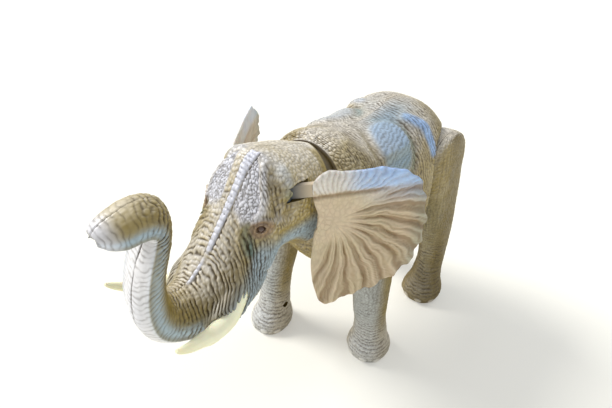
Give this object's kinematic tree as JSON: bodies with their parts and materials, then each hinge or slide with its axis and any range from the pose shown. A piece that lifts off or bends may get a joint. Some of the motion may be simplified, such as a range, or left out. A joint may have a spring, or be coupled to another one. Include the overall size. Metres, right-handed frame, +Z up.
{
  "type": "toy elephant figure",
  "caption": "Large hollow plastic toy elephant with a raised trunk, ribbed ears that flap, tusks, a head that turns and legs that swing at the hips.",
  "frame": {"origin": "under the middle of the figure's box, on the surface it stands on", "axes": "+Z up, the elephant faces -Y and its left side is +X"},
  "size_m": [0.1548, 0.2992, 0.2184],
  "materials": {
    "grey_plastic": "wrinkled skin moulded in grey brown plastic with a brown wash in the creases",
    "tan_plastic": "ribbed tan plastic with a pale band along the top",
    "ivory_plastic": "smooth ivory coloured plastic",
    "black_plastic": "plain black plastic, hidden inside",
    "screw_steel": "plain steel"
  },
  "bodies": {
    "torso": {"body_left_shell": "grey_plastic", "body_right_shell": "grey_plastic", "neck_pin": "screw_steel", "body_screw_1": "screw_steel", "body_screw_2": "screw_steel", "body_screw_3": "screw_steel", "tail": "grey_plastic"},
    "head": {"head_left_shell": "grey_plastic", "head_right_shell": "grey_plastic", "tusk_left": "ivory_plastic", "tusk_right": "ivory_plastic", "ear_left_pin": "black_plastic", "ear_right_pin": "black_plastic", "head_screw_1": "screw_steel", "head_screw_2": "screw_steel"},
    "ear_left": {"ear_left": "tan_plastic"},
    "ear_right": {"ear_right": "tan_plastic"},
    "leg_front_left": {"leg_front_left_outer": "grey_plastic", "leg_front_left_inner": "grey_plastic", "hip_pin_front_left": "black_plastic", "ankle_screw_front_left": "screw_steel"},
    "leg_rear_left": {"leg_rear_left_outer": "grey_plastic", "leg_rear_left_inner": "grey_plastic", "hip_pin_rear_left": "black_plastic", "ankle_screw_rear_left": "screw_steel"},
    "leg_front_right": {"leg_front_right_outer": "grey_plastic", "leg_front_right_inner": "grey_plastic", "hip_pin_front_right": "black_plastic", "ankle_screw_front_right": "screw_steel"},
    "leg_rear_right": {"leg_rear_right_outer": "grey_plastic", "leg_rear_right_inner": "grey_plastic", "hip_pin_rear_right": "black_plastic", "ankle_screw_rear_right": "screw_steel"}
  },
  "joints": [
    {"name": "head_turn", "type": "hinge", "parent": "torso", "child": "head", "pos_m": [0, -0.00717, 0.16703], "axis": [0, 0.2419, 0.9703], "range_deg": [-15, 15]},
    {"name": "ear_left_flap", "type": "hinge", "parent": "head", "child": "ear_left", "pos_m": [0.02197, -0.05103, 0.194], "axis": [0, 0, 1], "range_deg": [-15, 4]},
    {"name": "ear_right_flap", "type": "hinge", "parent": "head", "child": "ear_right", "pos_m": [-0.02197, -0.05103, 0.194], "axis": [0, 0, 1], "range_deg": [-4, 15]},
    {"name": "leg_front_left_swing", "type": "hinge", "parent": "torso", "child": "leg_front_left", "pos_m": [0.042, 0.02195, 0.132], "axis": [1, 0, 0], "range_deg": [-15, 10]},
    {"name": "leg_rear_left_swing", "type": "hinge", "parent": "torso", "child": "leg_rear_left", "pos_m": [0.042, 0.10895, 0.15], "axis": [1, 0, 0], "range_deg": [-10, 15]},
    {"name": "leg_front_right_swing", "type": "hinge", "parent": "torso", "child": "leg_front_right", "pos_m": [-0.042, 0.02195, 0.132], "axis": [1, 0, 0], "range_deg": [-2, 22]},
    {"name": "leg_rear_right_swing", "type": "hinge", "parent": "torso", "child": "leg_rear_right", "pos_m": [-0.042, 0.10895, 0.15], "axis": [1, 0, 0], "range_deg": [-10, 15]}
  ]
}
